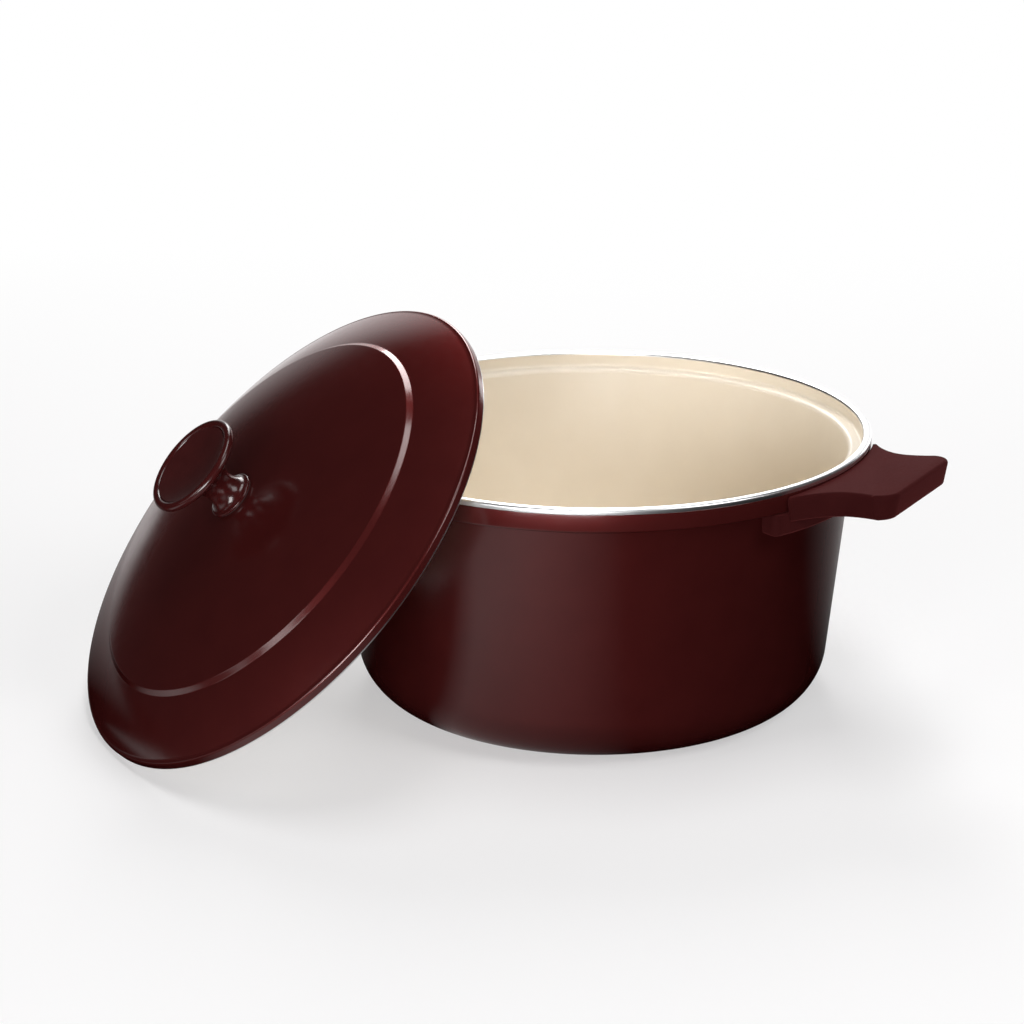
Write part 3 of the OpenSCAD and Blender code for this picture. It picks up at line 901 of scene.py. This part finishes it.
def floor_mirrored(shader):
    """Floor for gloss on the object: white behind, dim in front, with glowing patches by pot and lid that
    paint highlights onto the pot's wall and the lid.
    """
    away = shader.along(toward(0, 0))
    behind_side = shader.along(toward(BEHIND_TURN, 0))
    behind = shader.fold(
        "MINIMUM", shader.rise(away, BEHIND_SPAN), shader.rise(behind_side, BEHIND_SIDE),
    )
    # Painted highlights: glowing patches seen only in reflections, one by the pot for its wall and one by
    # the lid.
    pot_side = shader.along(toward(POT_PATCH_TURN, 0))
    pot_edge = shader.along(toward(POT_PATCH_EDGE_TURN, 0))
    pot_painted_glow = shader.fold(
        "MINIMUM", shader.rise(pot_side, POT_PATCH_RISE, POT_PATCH_TOP),
        shader.fall(pot_side, POT_PATCH_FALL), shader.rise(pot_edge, POT_PATCH_EDGE),
        shader.rise(away, POT_PATCH_NEAR),
    )
    lid_side = shader.along(toward(LID_PATCH_TURN, 0))
    lid_painted_glow = shader.fold(
        "MINIMUM", shader.rise(lid_side, LID_PATCH_RISE), shader.fall(lid_side, LID_PATCH_FALL),
        shader.rise(away, LID_PATCH_NEAR), shader.fall(away, LID_PATCH_FAR),
    )
    glow = shader.nodes.new("ShaderNodeEmission")
    shader.links.new(shader.fold("MAXIMUM", behind, pot_painted_glow, lid_painted_glow), glow.inputs["Strength"])
    return glow.outputs["Emission"]


def make_floor():
    """A wide floor that camera, gloss and diffuse light each meet in their own way."""
    bm = bmesh.new()
    bmesh.ops.create_grid(bm, x_segments=1, y_segments=1, size=FLOOR_HALF / MM)
    floor = finish_mesh("floor", bm)
    shader = Shader("pale_floor").set(
        Roughness=0.9, Base_Color=(*FLOOR_PALE, 1), Specular_IOR_Level=0.1,
    )
    bounce = shader.nodes.new("ShaderNodeBsdfDiffuse")
    bounce.inputs["Color"].default_value = (*FLOOR_BOUNCE, 1)
    rays = shader.nodes.new("ShaderNodeLightPath").outputs
    unseen = shader.blend(rays["Is Glossy Ray"], bounce.outputs["BSDF"], floor_mirrored(shader))
    surface = shader.blend(rays["Is Camera Ray"], unseen, floor_seen(shader))
    shader.links.new(surface, shader.nodes["Material Output"].inputs["Surface"])
    floor.data.materials.append(shader.material)


def make_world():
    """White to the camera; to the object a white backdrop behind it and a dim studio elsewhere."""
    world = bpy.data.worlds.new("studio")
    world.use_nodes = True
    bpy.context.scene.world = world
    nodes = world.node_tree.nodes
    links = world.node_tree.links
    direction = nodes.new("ShaderNodeTexCoord").outputs["Generated"]
    facing = nodes.new("ShaderNodeVectorMath")
    facing.operation = "DOT_PRODUCT"
    facing.inputs[1].default_value = toward(BACKDROP_TURN, BACKDROP_RISE)
    links.new(direction, facing.inputs[0])
    backdrop = nodes.new("ShaderNodeMapRange")
    backdrop.interpolation_type = "SMOOTHSTEP"
    backdrop.inputs["From Min"].default_value = math.cos(math.radians(BACKDROP_EDGE))
    backdrop.inputs["From Max"].default_value = math.cos(math.radians(BACKDROP_CORE))
    backdrop.inputs["To Min"].default_value = STUDIO_DIM
    backdrop.inputs["To Max"].default_value = 1.0
    links.new(facing.outputs["Value"], backdrop.inputs["Value"])
    studio = nodes["Background"]
    studio.inputs["Color"].default_value = (*WHITE, 1)
    links.new(backdrop.outputs["Result"], studio.inputs["Strength"])
    white = nodes.new("ShaderNodeBackground")
    white.inputs["Color"].default_value = (*WHITE, 1)
    to_camera = nodes.new("ShaderNodeLightPath").outputs["Is Camera Ray"]
    mixer = nodes.new("ShaderNodeMixShader")
    links.new(to_camera, mixer.inputs["Fac"])
    links.new(studio.outputs["Background"], mixer.inputs[1])
    links.new(white.outputs["Background"], mixer.inputs[2])
    links.new(mixer.outputs["Shader"], nodes["World Output"].inputs["Surface"])


# Place inside the pot, near its far wall, that one gridded lamp is aimed at, in metres
INSIDE_AWAY = 0.07
INSIDE_RIGHT = 0.03
INSIDE_UP = 0.08
INSIDE_AIM = toward(0, 0) * INSIDE_AWAY + toward(90, 0) * INSIDE_RIGHT + Vector((0, 0, INSIDE_UP))
INSIDE_FAN = 12

# Lamps: turn and rise in degrees, distance and size in metres, brightness in units of white.
# The last one also has its fan in degrees and its aim.
SOFTBOXES = {
    "softbox_top": (180, 85, 1.3, (0.34, 0.84), 6.5),
    "softbox_back": (-2, 40, 1.5, (0.45, 0.95), 8),
    "softbox_front": (-165, 5, 1.6, (0.9, 0.6), 16),
    "softbox_right": (130, 40, 1.5, (0.7, 0.7), 5),
    "softbox_strip": (37, 10, 1.5, (0.3, 0.5), 4),
    "softbox_left": (-128, 16, 1.6, (0.4, 0.5), 4.5),
    "softbox_low": (-113, 1, 1.6, (0.45, 0.18), 1.6),
    "softbox_inside": (165, 55, 1.2, (0.1, 0.1), 0.65, INSIDE_FAN, INSIDE_AIM),
}


def make_softbox(name, turn, rise, distance, size, brightness, fan=180, aim=STAGE_TARGET):
    """A rectangular light that faces its aim; a grid narrows its fan."""
    light = bpy.data.objects.new(name, bpy.data.lights.new(name, "AREA"))
    light.data.shape = "RECTANGLE"
    light.data.size, light.data.size_y = size
    light.data.energy = math.pi * size[0] * size[1] * brightness
    light.data.spread = math.radians(fan)
    light.location = aim + toward(turn, rise) * distance
    light.rotation_euler = (-toward(turn, rise)).to_track_quat("-Z", "Y").to_euler()
    light.visible_camera = False
    bpy.context.scene.collection.objects.link(light)


make_camera()
make_pot()
make_base_plate()
make_lug("lug_right", 0)
make_lug("lug_left", math.pi)
make_grip("silicone_grip_right", "grip_right", 0)
make_grip("silicone_grip_left", "grip_left", math.pi)
lid_place = lid_matrix()
make_lid(lid_place)
make_knob(lid_place)
make_knob_plate(lid_place)
make_gasket(lid_place)
dress_cad_nodes()
make_floor()
make_world()
for softbox, values in SOFTBOXES.items():
    make_softbox(softbox, *values)

bpy.context.scene.view_settings.view_transform = "Standard"
